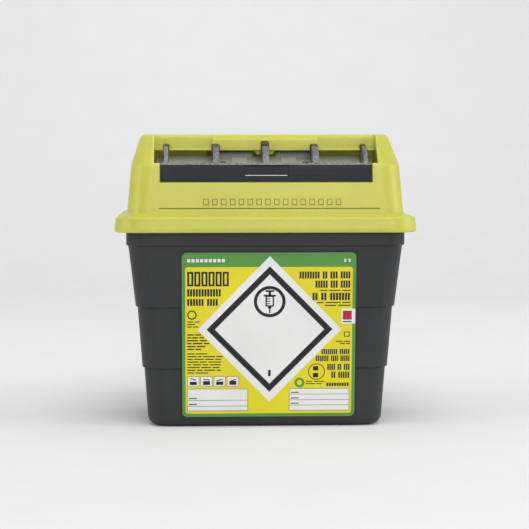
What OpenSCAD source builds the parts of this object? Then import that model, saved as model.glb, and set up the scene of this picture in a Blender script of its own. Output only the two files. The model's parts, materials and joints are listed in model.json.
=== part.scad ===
// Sharps container: a stepped, tapered tub, a lid that clicks onto its rim for good, and a
// turning closure in the lid's sloping front. All sizes are in millimetres.
// The tub stands on z = 0 with its middle at x = y = 0, and its front faces -Y.

/* [Tub] */
// Width of the plain band under the rim, side to side
tub_w = 274; // [228:1:330]
// Depth of the band under the rim, front to back
tub_d = 181; // [150:1:220]
// Height of the tub, up to the top of its rim
tub_h = 206.8; // [172:0.1:250]
// Wall thickness of the tub
tub_wall = 2; // [1.6:0.1:3]
// Thickness of the tub's bottom
tub_floor = 2.5; // [2:0.1:4]
// Distance from the top of the rim down to the highest step
band_h = 26.3; // [22:0.1:32]
// Height of the upper tier and of the middle tier; the lowest takes the rest
tier_h = 60.9; // [45:0.1:70]
// How far each step goes in, on each side
step_in = 2; // [1:0.1:3]
// How far the walls of the lowest tier lean in, on each side
draft_low = 3.9; // [1:0.1:8]
// How far the walls of the middle tier lean in, on each side
draft_mid = 4.2; // [1:0.1:8]
// How far the walls of the upper tier lean in, on each side
draft_top = 6.6; // [1:0.1:8]
// Corner radius of the tub's walls, seen from above
tub_corner = 20; // [14:0.5:28]
// Radius round the outer edge of the bottom
foot_r = 10; // [5:0.5:12]
// How far the rim stands out from the band, on each side
rim_out = 8; // [6:0.1:10]
// Thickness of the rim
rim_t = 3; // [2:0.1:4]

/* [Lid] */
// How far the lid's skirt stands out from the tub's band, on each side
lid_over = 11; // [9.5:0.1:14]
// Wall thickness of the lid
lid_wall = 2.2; // [1.8:0.1:3]
// How far the skirt hangs below the top of the tub's rim
skirt_drop = 12.9; // [10:0.1:18]
// Thickness of the ledge over the rim, next to the dome
ledge_t = 4.4; // [3:0.1:6]
// Width of the ledge, from the outside of the skirt to the foot of the dome
ledge_w = 12; // [10:0.1:16]
// Height of the dome's upright part, from the ledge to the crease
dome_h = 48; // [40:0.1:58]
// How far the upright part leans in, on each side
dome_draft = 4.2; // [2:0.1:7]
// Height of the sloping part, from the crease to the flat top
slope_h = 30; // [25:0.1:36]
// How far the slope goes back at the front
slope_front = 27.3; // [22:0.1:33]
// How far the slope goes in at each side
slope_side = 9.3; // [5:0.1:12]
// How far the slope goes in at the back
slope_back = 6; // [3:0.1:12]
// Corner radius of the dome, seen from above
dome_corner = 20; // [14:0.5:26]
// Length of each snap bead inside the skirt
bead_len = 60; // [30:1:80]
// How far a snap bead reaches under the tub's rim
bead_grip = 0.8; // [0.5:0.1:1.2]

/* [Hand grip] */
// Width of the hand pocket in the lid's top
grip_w = 110; // [90:1:130]
// Length of the hand pocket, front to back
grip_d = 64; // [54:1:70]
// Depth of the hand pocket
grip_deep = 26; // [22:0.5:28]
// Width of the bar across the pocket
grip_bar = 18; // [14:0.5:22]
// Thickness of the bar across the pocket
grip_bar_t = 12; // [8:0.5:14]

/* [Slot and closure] */
// Clear width of the slot in the lid
slot_w = 215.4; // [179:0.1:232]
// Radius of the ribs and of the grip bar about the pivot
closure_r = 34; // [29:0.1:40]
// Height of the crease above the pivot
pivot_drop = 14.2; // [12:0.1:17]
// Angle that the closure turns through, from open to shut
closure_turn = 60; // [50:1:60]
// Thickness of the tray's plates
tray_t = 2; // [1.6:0.1:3]
// Clear gap between the tray's ends and the slot's cheeks
end_gap = 2; // [1:0.1:3]
// Clear gap between faces that pass each other as the closure turns
pass_gap = 0.5; // [0.3:0.05:1]
// Distance between the middles of two ribs
rib_pitch = 48.8; // [41:0.1:49.5]
// Thickness of the three inner ribs
rib_t = 6; // [3:0.1:7]
// Thickness of the two outer ribs
end_rib_t = 4; // [3:0.1:5]
// Clear gap on each side of a rib in its notch
notch_gap = 1; // [0.5:0.1:2]
// Width of the raised tray rim's gap for the lid's tooth
tooth_w = 21; // [14:0.5:26]
// Radius of the catch on top of the middle rib
catch_r = 2.2; // [1.5:0.1:2.6]

/* [Grip bar] */
// Length of the grip bar
bar_w = 206; // [171:0.5:206]
// Thickness of the grip bar
bar_t = 2.6; // [2:0.1:3]
// Height of the bar's lower edge below the pivot
bar_low = 1.8; // [1:0.1:4]
// Height of the bar's upper edge above the pivot
bar_high = 14.4; // [12:0.1:16]
// Width of the finger recess in the bar
finger_w = 44; // [30:1:60]
// Depth of the finger recess
finger_deep = 1.2; // [0.8:0.1:1.6]
// Width of each snap tongue that holds the bar on the tray
tongue_w = 6; // [4:0.5:10]

/* [Pivot pins] */
// Radius of the pin's shaft
pin_r = 4; // [3:0.1:5]
// Radial clearance of the shaft in the lid's cheek
pin_clear = 0.06; // [0.03:0.01:0.1]
// Radius of the pin's head
pin_head_r = 7; // [6:0.1:9]
// Thickness of the pin's head
pin_head_t = 2; // [1.5:0.1:3]

/* [Label] */
// Width of the front label
label_w = 170.5; // [120:0.5:176]
// Height of the label's lower edge above the floor
label_z = 10.4; // [10:0.1:16]
// Distance from the label's upper edge up to the highest step
label_gap = 6.4; // [4:0.1:20]
// How far the label sits to the right of the middle
label_x = 2.7; // [-5:0.1:5]
// Thickness of the label
label_t = 0.3; // [0.2:0.05:0.5]
// Width of the small sticker
sticker_w = 13.8; // [10:0.1:20]
// Height of the small sticker
sticker_h = 15; // [10:0.1:20]
// Height of the small sticker's lower edge above the label's lower edge
sticker_up = 93.7; // [40:0.1:120]

/* [Hidden] */
$fn = 48;
corner_steps = 6;

// Tub: how far each level's wall stands in from the band, from the lowest tier up
in_3 = step_in;
in_3b = in_3 + draft_top;
in_2 = in_3b + step_in;
in_2b = in_2 + draft_mid;
in_1 = in_2b + step_in;
in_1b = in_1 + draft_low;
step_3 = tub_h - band_h;
step_2 = step_3 - tier_h;
step_1 = step_2 - tier_h;
step_soft = 0.9;
// How much of the foot's inward curve the corner radius follows
foot_share = 0.8;

// Lid: outer size of the skirt, and the heights of its levels
lid_w = tub_w + 2 * lid_over;
lid_d = tub_d + 2 * lid_over;
skirt_z = tub_h - skirt_drop;
ledge_z = tub_h + ledge_t;
crease_z = ledge_z + dome_h;
top_z = crease_z + slope_h;
skirt_corner = dome_corner + ledge_w / 2;
top_edge = 4;
function dome_in(z) = ledge_w + dome_draft * (z - ledge_z) / dome_h;
function front_y(z) = dome_in(z) - lid_d / 2;

// Closure: the pivot, and the sizes that follow from it. Angles are about the pivot, from
// the back (0) over the top (90) to the front (180).
pivot_z = crease_z - pivot_drop;
pivot_y = front_y(pivot_z) + closure_r + 0.5;
bar_in_r = closure_r - bar_t;
floor_r = bar_in_r - 0.4;
floor_in_r = floor_r - lid_wall + 0.2;
shell_r = floor_in_r - pass_gap;
shell_in_r = shell_r - tray_t;
bar_top_a = 180 - asin(bar_high / closure_r);
bar_low_a = 180 + asin(bar_low / closure_r);
web_span_a = 3.9;
web_a = bar_top_a - web_span_a;
shell_end_a = 216;
floor_over_a = 3.1;
floor_top_a = bar_top_a + floor_over_a;
tray_w = slot_w - 2 * end_gap;
rib_in = 0.5;
tray_front = (shell_r - rib_in) * [cos(shell_end_a - 1), sin(shell_end_a - 1)];
rim_a = 49;
rim_in = 3.5;
tray_rim = (closure_r - rim_in) * [cos(rim_a), sin(rim_a)];
tray_run = tray_rim - tray_front;
tray_up = [-tray_run[1], tray_run[0]] / norm(tray_run);
rim_rise = 5.5;
tongue_x = rib_pitch - rib_t / 2 - tongue_w / 2 - 1;
function rib_width(k) = abs(k) == 2 ? end_rib_t : rib_t;
catch_up = 0.8;
catch_mid_r = closure_r + catch_up;
catch_a = 93;
// Where the pins' inner ends are, measured from the middle
pin_end_gap = 0.4;
pin_in = 2 * rib_pitch + end_rib_t / 2 + pin_end_gap;
function rib_top_r(k) = k == 0 ? catch_mid_r + catch_r : closure_r;

// Slot in the lid
block_y = pivot_y + pass_gap;
block_out = 5.3;
wall_y = block_y + block_out;
wall_t = lid_wall;
wall_z = pivot_z + shell_r;
lip_t = 2;
block_side = 0.8;
block_w = 2 * rib_pitch + rib_t + 2 * notch_gap - 2 * block_side;
block_slope = 5;
slot_up = 2;
slot_z = crease_z + slot_up;
pocket_gap = 0.8;
pocket_z = pivot_z - bar_low - 1;
cheek_low = 14;
cheek_back = 16;
tooth_h = 4;

// Hand grip
grip_back = 20;
grip_y = (lid_d / 2 - dome_in(crease_z) - slope_back) - grip_d / 2 - grip_back;
grip_corner = 12;

// Label pad: a flat, slightly leaning face on the stepped front
pad_margin = 0.8;
pad_out = 0.6;
pad_low = label_z - pad_margin;
pad_high = step_3 - label_gap + pad_margin;
function before_wall(inset) = inset - tub_d / 2 - pad_out;
pad_high_y = before_wall(in_3 + draft_top * (step_3 - pad_high) / tier_h);
// Where the pad's lower edge is when its face just clears the foot of a tier
function clear_of(z, inset) =
    pad_high_y + (before_wall(inset) - pad_high_y) * (pad_high - pad_low) / (pad_high - z);
pad_low_y = min(before_wall(in_1b - draft_low * pad_low / step_1),
                clear_of(step_1 + step_soft, in_2b), clear_of(step_2 + step_soft, in_3b));
pad_lean = atan((pad_low_y - pad_high_y) / (pad_high - pad_low));
label_h = (step_3 - label_gap - label_z) / cos(pad_lean);

// A ring of points round a rounded rectangle at height z, its middle moved back by shift
function ring(z, w, d, r, shift = 0) = [
    for (c = [[1, 1, 0], [-1, 1, 90], [-1, -1, 180], [1, -1, 270]], i = [0:corner_steps])
        [c[0] * (w / 2 - r) + r * cos(c[2] + 90 * i / corner_steps),
         c[1] * (d / 2 - r) + r * sin(c[2] + 90 * i / corner_steps) + shift, z]];

// A closed skin through a list of rings
module skin(rings) {
    n = len(rings[0]);
    last = len(rings) - 1;
    sides = [for (k = [0:last - 1], i = [0:n - 1]) let (j = (i + 1) % n)
             [k * n + i, (k + 1) * n + i, (k + 1) * n + j, k * n + j]];
    first_face = [for (i = [0:n - 1]) i];
    last_face = [for (i = [n - 1:-1:0]) last * n + i];
    polyhedron([for (r = rings) each r], concat([first_face], sides, [last_face]));
}

// A ring of the tub, standing in from the band
function tub_ring(z, inset, r = tub_corner) = ring(z, tub_w - 2 * inset, tub_d - 2 * inset, r);

function tub_outside() = concat(
    [for (a = [0:30:90]) let (inward = foot_r * (1 - sin(a)))
     tub_ring(foot_r * (1 - cos(a)), in_1b - draft_low * foot_r / step_1 + inward,
              tub_corner - inward * foot_share)],
    [tub_ring(step_1 - step_soft, in_1), tub_ring(step_1 + step_soft, in_2b),
     tub_ring(step_2 - step_soft, in_2), tub_ring(step_2 + step_soft, in_3b),
     tub_ring(step_3 - step_soft, in_3), tub_ring(step_3 + step_soft, 0),
     tub_ring(tub_h - rim_t, 0), tub_ring(tub_h - rim_t, -rim_out, tub_corner + rim_out / 2),
     tub_ring(tub_h, -rim_out, tub_corner + rim_out / 2)]);

function tub_inside() = let (t = tub_wall, r = tub_corner - tub_wall) [
    tub_ring(tub_h, t, r),
    tub_ring(step_3 + step_soft, t, r), tub_ring(step_3 - step_soft, in_3 + t, r),
    tub_ring(step_2 + step_soft, in_3b + t, r), tub_ring(step_2 - step_soft, in_2 + t, r),
    tub_ring(step_1 + step_soft, in_2b + t, r), tub_ring(step_1 - step_soft, in_1 + t, r),
    tub_ring(foot_r, in_1b + t, r),
    tub_ring(tub_floor, in_1b + t + foot_r * 0.7, r - foot_r * 0.7)];

// The space inside the tub from the bottom up, a little smaller than the walls leave
function tub_hollow() = let (rings = tub_inside(), back_off = 0.8)
    [for (i = [len(rings) - 1:-1:0]) [for (p = rings[i]) [p[0], p[1] - back_off * sign(p[1]), p[2]]]];

// Draws its child, an outline in y and z, along x from -w/2 to w/2
module across(w) {
    translate([-w / 2, 0, 0]) rotate([90, 0, 90]) linear_extrude(w) children();
}

// The same about the pivot, with its middle at x
module about_pivot(w, x = 0) {
    translate([x, pivot_y, pivot_z]) across(w) children();
}

// A piece of a ring about the origin, between two radii and two angles
module sector(r_in, r_out, from_a, to_a) {
    intersection() {
        difference() {
            circle(r_out, $fn = 96);
            if (r_in > 0) circle(r_in, $fn = 96);
        }
        polygon(concat([[0, 0]], [for (i = [0:4]) let (a = from_a + (to_a - from_a) * i / 4)
                                  2 * r_out * [cos(a), sin(a)]]));
    }
}

// The tub: one injection moulding, with a flat pad on its front for the label
module base_tub() {
    color([0.25, 0.25, 0.26]) union() {
        skin(concat(tub_outside(), tub_inside()));
        difference() {
            translate([label_x, 0, 0]) across(label_w + 2 * pad_margin)
                polygon([[pad_low_y, pad_low], [pad_high_y, pad_high],
                         [pad_high_y + 8, pad_high], [pad_low_y + 8, pad_low]]);
            skin(tub_hollow());
        }
    }
}

// A ring of the lid: how far it stands in at the sides, the front and the back
function lid_ring(z, side, front, back, r) =
    ring(z, lid_w - 2 * side, lid_d - front - back, r, (front - back) / 2);
function skirt_ring(z, inset, r) = lid_ring(z, inset, inset, inset, r);
function slope_ring(z, inset, r) = let (t = (z - crease_z) / slope_h, c = dome_in(crease_z) + inset)
    lid_ring(z, c + slope_side * t, c + slope_front * t, c + slope_back * t, r);

// The lid's outside from the skirt up, standing in by inset
function lid_outside(inset) = [
    skirt_ring(skirt_z, 1.6 + inset, skirt_corner - 1.6),
    skirt_ring(skirt_z + 1.6, 0.1 + inset, skirt_corner),
    skirt_ring(skirt_z + 5, inset, skirt_corner),
    skirt_ring(tub_h - 1.3, 0.9 + inset, skirt_corner - 0.5),
    skirt_ring(tub_h + 1.5, 2 + inset, skirt_corner - 1),
    skirt_ring(tub_h + 2.6 - inset * 0.5, 4 + inset, skirt_corner - 2),
    skirt_ring(ledge_z - inset, ledge_w - 1.6 + inset, dome_corner + 1),
    skirt_ring(ledge_z + 1.6 - inset, ledge_w + 0.1 + inset, dome_corner),
    skirt_ring(crease_z - 1, dome_in(crease_z - 1) + inset, dome_corner),
    slope_ring(crease_z + 1, inset, dome_corner),
    slope_ring(top_z - top_edge - inset, inset, dome_corner - 3),
    slope_ring(top_z - 1.2 - inset, inset + 1, dome_corner - 4),
    slope_ring(top_z - inset, inset + 3.6, dome_corner - 6)];

function lid_inside() = let (t = lid_wall, c = dome_corner - lid_wall) [
    slope_ring(top_z - t, t + 2.6, c - 5),
    slope_ring(top_z - t - 2.4, t, c - 3),
    slope_ring(crease_z, t, c),
    skirt_ring(tub_h, ledge_w + t, c),
    skirt_ring(tub_h, t, skirt_corner - t),
    skirt_ring(skirt_z, t, skirt_corner - t)];

// What the slot and the bar's pocket take out of the lid's skin
module slot_cut() {
    reach = lid_d;
    difference() {
        translate([-slot_w / 2, wall_y - reach, slot_z]) cube([slot_w, reach, slope_h]);
        translate([-block_w / 2, block_y, slot_z - 1]) cube([block_w, reach, slope_h + 2]);
    }
    translate([-bar_w / 2 - pocket_gap, pivot_y - closure_r - 20, pocket_z])
        cube([bar_w + 2 * pocket_gap, 40, slot_z - pocket_z + 0.01]);
}

// Walls that close the slot: cheeks, pocket shelf, rear wall with its lip, and middle block
module slot_walls() {
    for (s = [-1, 1])
        translate([s * (slot_w + lid_wall) / 2 - lid_wall / 2, pivot_y - 50, pivot_z - cheek_low])
            cube([lid_wall, 50 + cheek_back, 60]);
    translate([-slot_w / 2 - 1, pivot_y - 50, pocket_z - lid_wall])
        cube([slot_w + 2, 50 - floor_in_r - 0.5, lid_wall]);
    translate([-slot_w / 2 - 1, wall_y, wall_z]) cube([slot_w + 2, wall_t, 40]);
    translate([-slot_w / 2 - 1, block_y, wall_z]) cube([slot_w + 2, wall_y - block_y + 1, lip_t]);
    translate([-block_w / 2, block_y, wall_z]) cube([block_w, wall_y - block_y + 1, 40]);
}

// Curved wall behind the grip bar
module pocket_floor() {
    about_pivot(slot_w + 1) intersection() {
        sector(floor_in_r, floor_r, floor_top_a, 200);
        translate([-60, pocket_z - pivot_z - lid_wall]) square([60, 40]);
    }
}

// The tooth under the middle of the rear wall
module lid_tooth() {
    translate([0, wall_y + wall_t, wall_z]) rotate([90, 0, 0]) linear_extrude(wall_t)
        polygon([[-tooth_w / 2, 1], [-tooth_w / 2, 0], [-tooth_w / 2 + 2.6, -tooth_h],
                 [tooth_w / 2 - 2.6, -tooth_h], [tooth_w / 2, 0], [tooth_w / 2, 1]]);
}

// Notches that the ribs swing through, open at the bottom
module rib_notches() {
    low = wall_z - tooth_h - 1;
    for (k = [-2:2]) let (w = rib_width(k) + 2 * notch_gap, high = rib_top_r(k) + 0.6)
        translate([k * rib_pitch - w / 2, block_y - 1, low])
            cube([w, wall_y + wall_t - block_y + 2, pivot_z + high - low]);
}

// A rounded rectangle, seen from above
module rounded(w, d, r) {
    square([w - 2 * r, d], center = true);
    square([w, d - 2 * r], center = true);
    for (x = [-1, 1], y = [-1, 1]) translate([x * (w / 2 - r), y * (d / 2 - r)]) circle(r);
}

module grip_walls() {
    translate([0, grip_y, top_z - grip_deep - lid_wall]) linear_extrude(grip_deep + lid_wall - 0.8)
        rounded(grip_w + 2 * lid_wall, grip_d + 2 * lid_wall, grip_corner + lid_wall);
}

module grip_cut() {
    difference() {
        translate([0, grip_y, top_z - grip_deep]) linear_extrude(grip_deep + 1)
            rounded(grip_w, grip_d, grip_corner);
        translate([-grip_w / 2 - 1, grip_y - grip_bar / 2, top_z - grip_bar_t])
            cube([grip_w + 2, grip_bar, grip_bar_t + 2]);
    }
}

// The bevel along the top of the middle block
module block_bevel() {
    across(block_w + 0.01) polygon([[block_y - 1, top_z - block_slope - 1],
        [block_y + block_slope + 1, top_z + 1], [block_y - 1, top_z + 1]]);
}

// Beads inside the skirt that snap under the tub's rim
module snap_beads() {
    bead_z = tub_h - rim_t - 0.3;
    reach = lid_over - rim_out + bead_grip;
    for (s = [-1, 1]) {
        translate([-bead_len / 2, s * (lid_d / 2 - reach / 2 - 0.5) - (reach - 1) / 2, bead_z - 2])
            cube([bead_len, reach - 1, 2]);
        translate([s * (lid_w / 2 - reach / 2 - 0.5) - (reach - 1) / 2, -bead_len / 2, bead_z - 2])
            cube([reach - 1, bead_len, 2]);
    }
}

// The lid: one moulding with its slot, the walls round the closure, and the hand pocket
module lid() {
    color([0.8, 0.8, 0.36]) difference() {
        union() {
            difference() {
                skin(concat(lid_inside(), lid_outside(0)));
                slot_cut();
            }
            intersection() {
                union() {
                    slot_walls();
                    grip_walls();
                }
                skin(lid_outside(0.4));
            }
            pocket_floor();
            lid_tooth();
            snap_beads();
        }
        rib_notches();
        grip_cut();
        block_bevel();
        for (s = [-1, 1]) translate([s * slot_w / 2 - 5, pivot_y, pivot_z])
            rotate([0, 90, 0]) cylinder(r = pin_r + pin_clear, h = 10);
    }
}

// Everything above the tray's floor, as an outline about the pivot
module over_tray() {
    polygon([tray_front, tray_rim, tray_rim + 80 * tray_up, tray_front + 80 * tray_up]);
}

module rib_outline() {
    intersection() {
        over_tray();
        union() {
            sector(0, closure_r, rim_a, bar_top_a);
            circle(shell_r - rib_in, $fn = 96);
        }
    }
}

// The tray: a curved front shell, a sloping floor, a raised rim, five ribs, and the catch on
// the middle rib that clicks past the edge of its notch
module closure_tray() {
    boss_w = slot_w / 2 - pass_gap - 2 * rib_pitch;
    color([0.62, 0.62, 0.6]) difference() {
        union() {
            about_pivot(tray_w) {
                sector(shell_in_r, shell_r, web_a, shell_end_a);
                polygon([tray_front, tray_rim, tray_rim - tray_t * tray_up,
                         tray_front - tray_t * tray_up]);
            }
            about_pivot(bar_w) sector(shell_in_r + 0.5, closure_r, web_a, bar_top_a);
            for (k = [-2:2]) about_pivot(rib_width(k), k * rib_pitch) rib_outline();
            about_pivot(rib_t) translate(catch_mid_r * [cos(catch_a), sin(catch_a)]) circle(catch_r);
            for (s = [-1, 1]) about_pivot(rib_pitch - 1, s * rib_pitch / 2)
                translate(tray_rim + [-tray_t, -tray_t]) square([tray_t, tray_t + rim_rise]);
            for (s = [-1, 1]) translate([s * (2 * rib_pitch + boss_w / 2) - boss_w / 2, pivot_y, pivot_z])
                rotate([0, 90, 0]) cylinder(r = 2 * pin_r, h = boss_w);
        }
        about_pivot(tooth_w + 3) translate(tray_rim + [-tray_t - 1, 0]) square([tray_t + 2, rim_rise + 1]);
        for (s = [-1, 1]) {
            about_pivot(tongue_w + 0.4, s * tongue_x)
                sector(closure_r - 2.2, closure_r - 0.4, web_a - 1, bar_top_a + 1);
            translate([s * (pin_in + slot_w / 2) / 2, pivot_y, pivot_z])
                rotate([0, 90, 0]) cylinder(r = pin_r, h = slot_w / 2 - pin_in + 0.2, center = true);
        }
    }
}

// The grip bar: a curved strip that lies in the pocket, with a finger recess and two tongues
module grip_bar() {
    color([0.26, 0.26, 0.27]) union() {
        difference() {
            about_pivot(bar_w) sector(bar_in_r, closure_r, bar_top_a, bar_low_a);
            about_pivot(finger_w) sector(closure_r - finger_deep, closure_r + 5, bar_top_a + 1.5, bar_low_a - 10);
        }
        for (s = [-1, 1]) about_pivot(tongue_w, s * tongue_x)
            sector(closure_r - 2, closure_r - 0.6, web_a - 0.6, bar_top_a + 1);
    }
}

// A pin through one cheek into the tray's boss; side is -1 for left and 1 for right
module pivot_pin(side) {
    head_x = slot_w / 2 + lid_wall + pin_end_gap;
    color([0.6, 0.6, 0.58]) translate([0, pivot_y, pivot_z]) rotate([0, side * 90, 0]) union() {
        translate([0, 0, pin_in]) cylinder(r = pin_r, h = head_x + pin_head_t - pin_in);
        translate([0, 0, head_x]) cylinder(r = pin_head_r, h = pin_head_t);
    }
}

module pivot_pin_left() { pivot_pin(-1); }
module pivot_pin_right() { pivot_pin(1); }

// Puts its child on the label pad: x across, y up the pad, z out of it
module on_pad() {
    translate([label_x, pad_low_y, pad_low]) rotate([90 + pad_lean, 0, 0])
        translate([0, pad_margin / cos(pad_lean), 0]) children();
}

module front_label() {
    color([0.87, 0.81, 0.2]) on_pad() translate([0, label_h / 2, 0]) linear_extrude(label_t)
        rounded(label_w, label_h, 5);
}

module region_sticker() {
    color([0.9, 0.9, 0.88]) on_pad()
        translate([label_w / 2 - sticker_w / 2 - 0.4, sticker_up + sticker_h / 2, label_t])
            linear_extrude(0.2) rounded(sticker_w, sticker_h, 1);
}

base_tub();
lid();
closure_tray();
grip_bar();
pivot_pin_left();
pivot_pin_right();
front_label();
region_sticker();
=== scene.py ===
# Sharps container: a dark grey stepped tub, a yellow lid with a slot in its sloping front, a
# turning tray with ribs in that slot, its dark grip bar, and the label on the tub.
# Shapes are drawn in millimetres, and finish_mesh() turns them into metres.
import json
import math

import bmesh
import bpy
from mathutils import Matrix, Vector


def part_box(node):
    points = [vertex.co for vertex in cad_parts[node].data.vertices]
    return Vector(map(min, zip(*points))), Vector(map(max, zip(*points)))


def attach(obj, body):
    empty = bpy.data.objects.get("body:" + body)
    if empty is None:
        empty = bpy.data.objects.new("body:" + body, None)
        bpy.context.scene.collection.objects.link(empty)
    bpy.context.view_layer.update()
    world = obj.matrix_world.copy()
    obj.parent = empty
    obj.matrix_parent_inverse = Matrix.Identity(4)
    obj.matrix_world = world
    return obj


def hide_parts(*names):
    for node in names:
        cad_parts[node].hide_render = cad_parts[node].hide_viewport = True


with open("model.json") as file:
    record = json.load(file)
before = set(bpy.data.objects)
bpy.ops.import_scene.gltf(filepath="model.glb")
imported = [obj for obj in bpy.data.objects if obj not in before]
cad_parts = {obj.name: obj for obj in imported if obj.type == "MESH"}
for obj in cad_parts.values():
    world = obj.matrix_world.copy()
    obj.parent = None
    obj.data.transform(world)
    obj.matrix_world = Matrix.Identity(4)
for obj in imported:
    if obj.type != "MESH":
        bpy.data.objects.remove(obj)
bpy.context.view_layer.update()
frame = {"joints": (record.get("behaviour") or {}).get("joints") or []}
mm = 0.001


def corners(node):
    """Lowest and highest corner of a CAD node, in millimetres."""
    low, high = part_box(node)
    return low / mm, high / mm


# --------------------------------------------------------------------------------------
# Tub. One injection moulding in dark grey recycled polypropylene: a rectangular tub with
# round corners that narrows in three tiers, a plain band and a rim at the top, a rounded
# foot, and a flat leaning pad on the front that the label is stuck to.

tub_low, tub_high = corners("base_tub")
label_low, label_high = corners("front_label")
rim_out = 8
rim_t = 3
tub_w = tub_high.x - tub_low.x - 2 * rim_out
tub_d = tub_high.y - tub_low.y - 2 * rim_out
tub_h = tub_high.z
tub_wall = 2
tub_floor = 2.5
tub_corner = 20
foot_r = 10
foot_share = 0.8
foot_land = 5.5
foot_hollow = 1.2
foot_hollow_edge = 1.5
band_h = 26.3
tier_h = 60.9
step_in = 2
step_round = [(-1.6, 1.0), (-0.7, 0.94), (-0.25, 0.72), (0.25, 0.28), (0.7, 0.06), (1.6, 0.0)]
drafts = [6.6, 4.2, 3.9]
rim_edge = 0.5
rim_root = 1.2
mouth_edge = 0.4
label_t = 0.3
pad_margin = 0.8
pad_edge = 0.5
pad_gap = 0.02
step_z = [tub_h - band_h - k * tier_h for k in range(3)]


def quarter(steps, start=0):
    """Angles over a quarter turn, in radians."""
    return [math.radians(start + 90 * i / steps) for i in range(steps + 1)]


def ring(z, w, d, r, shift=0.0, stops=(), steps=14):
    """Points round a rounded rectangle, with extra points at the stops along its long sides."""
    points = []
    for number, (sx, sy, start) in enumerate([(1, 1, 0), (-1, 1, 90), (-1, -1, 180), (1, -1, 270)]):
        for a in quarter(steps, start):
            x = sx * (w / 2 - r) + r * math.cos(a)
            y = sy * (d / 2 - r) + r * math.sin(a) + shift
            points.append((x, y, z))
        if number == 0:
            points += [(x, d / 2 + shift, z) for x in sorted(stops, reverse=True)]
        if number == 2:
            points += [(x, -d / 2 + shift, z) for x in sorted(stops)]
    return points


def finish_mesh(name, mesh):
    """Turns a bmesh drawn in millimetres into an object in metres, with its normals outwards."""
    bmesh.ops.scale(mesh, vec=(mm, mm, mm), verts=mesh.verts)
    bmesh.ops.recalc_face_normals(mesh, faces=mesh.faces)
    data = bpy.data.meshes.new(name)
    mesh.to_mesh(data)
    mesh.free()
    piece = bpy.data.objects.new(name, data)
    bpy.context.scene.collection.objects.link(piece)
    return piece


def skin(name, rings):
    """A closed mesh through a list of rings, capped at both ends."""
    mesh = bmesh.new()
    rows = [[mesh.verts.new(p) for p in points] for points in rings]
    count = len(rows[0])
    for below, above in zip(rows, rows[1:]):
        for i in range(count):
            j = (i + 1) % count
            mesh.faces.new((below[i], below[j], above[j], above[i]))
    mesh.faces.new(rows[0][::-1])
    mesh.faces.new(rows[-1])
    return finish_mesh(name, mesh)


def smooth(piece, degrees=32):
    """Smooth shading with crisp edges above an angle, evened out by face area."""
    piece.data.polygons.foreach_set("use_smooth", [True] * len(piece.data.polygons))
    piece.data.set_sharp_from_angle(angle=math.radians(degrees))
    even = piece.modifiers.new("even shading", "WEIGHTED_NORMAL")
    even.keep_sharp = True
    even.weight = 80


pad_mid = (label_low.x + label_high.x) / 2
pad_half = (label_high.x - label_low.x) / 2 + pad_margin
pad_low_z = label_low.z - pad_margin
pad_high_z = label_high.z + pad_margin
pad_stops = [pad_mid + side * pad_half + side * more for side in (-1, 1) for more in (0, pad_edge)]


def tub_inset(z):
    """How far the tub's wall stands in from its band at a height."""
    inset = 0.0
    for k, draft in enumerate(drafts):
        if z >= step_z[k]:
            return inset
        low = step_z[k + 1] if k < 2 else 0.0
        inset += step_in + draft * (step_z[k] - max(z, low)) / (step_z[k] - low)
    return inset


def pad_front(z):
    """Where the flat pad's face is at a height, just behind the label."""
    t = (z - label_low.z) / (label_high.z - label_low.z)
    return label_high.y + (label_low.y + label_t - label_high.y) * t + pad_gap


def tub_outline():
    """Height, inset and corner radius of each ring of the tub's outside, from the foot up."""
    foot_in = tub_inset(foot_r)
    foot_start = foot_in + foot_r + foot_land
    foot_corner = tub_corner - foot_r
    levels = [(foot_hollow, foot_start + foot_hollow_edge, foot_corner), (0, foot_start, foot_corner)]
    for a in quarter(7):
        inward = foot_r * (1 - math.sin(a))
        height = foot_r * (1 - math.cos(a))
        levels.append((height, foot_in + inward, tub_corner - foot_share * inward))
    for k in (2, 1, 0):
        upper = tub_inset(step_z[k] - 0.01) - step_in
        for up, share in step_round:
            levels.append((step_z[k] + up, upper + share * step_in, tub_corner))
    under = tub_h - rim_t
    rim_corner = tub_corner + rim_out / 2
    return levels + [
        (under - rim_root, 0, tub_corner), (under - rim_root / 4, -rim_root / 4, tub_corner),
        (under, -rim_root, tub_corner + 1), (under, rim_edge - rim_out, rim_corner),
        (under + rim_edge, -rim_out, rim_corner), (tub_h - rim_edge, -rim_out, rim_corner),
        (tub_h, rim_edge - rim_out, rim_corner)]


def tub_hollow_outline():
    """The same for the inside, from the rim down."""
    r = tub_corner - tub_wall
    levels = [(tub_h, tub_wall - mouth_edge, r), (tub_h - mouth_edge, tub_wall, r)]
    for z in step_z:
        upper = tub_inset(z + 0.01) + tub_wall
        levels += [(z + 1, upper, r), (z - 1, upper + step_in, r)]
    inner_r = foot_r - tub_wall
    for a in quarter(5):
        inward = inner_r * (1 - math.cos(a))
        height = tub_floor + inner_r * (1 - math.sin(a))
        levels.append((height, tub_inset(foot_r) + tub_wall + inward, r - foot_share * inward))
    return levels


def tub_ring(z, inset, r):
    return ring(z, tub_w - 2 * inset, tub_d - 2 * inset, r, stops=pad_stops)


def with_pad(points):
    """Brings the two middle stops on the front of a ring out to the pad."""
    moved = []
    for x, y, z in points:
        on_edge = abs(abs(x - pad_mid) - pad_half) < 0.01
        moved.append((x, min(y, pad_front(z)) if on_edge and y < 0 else y, z))
    return moved


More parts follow.
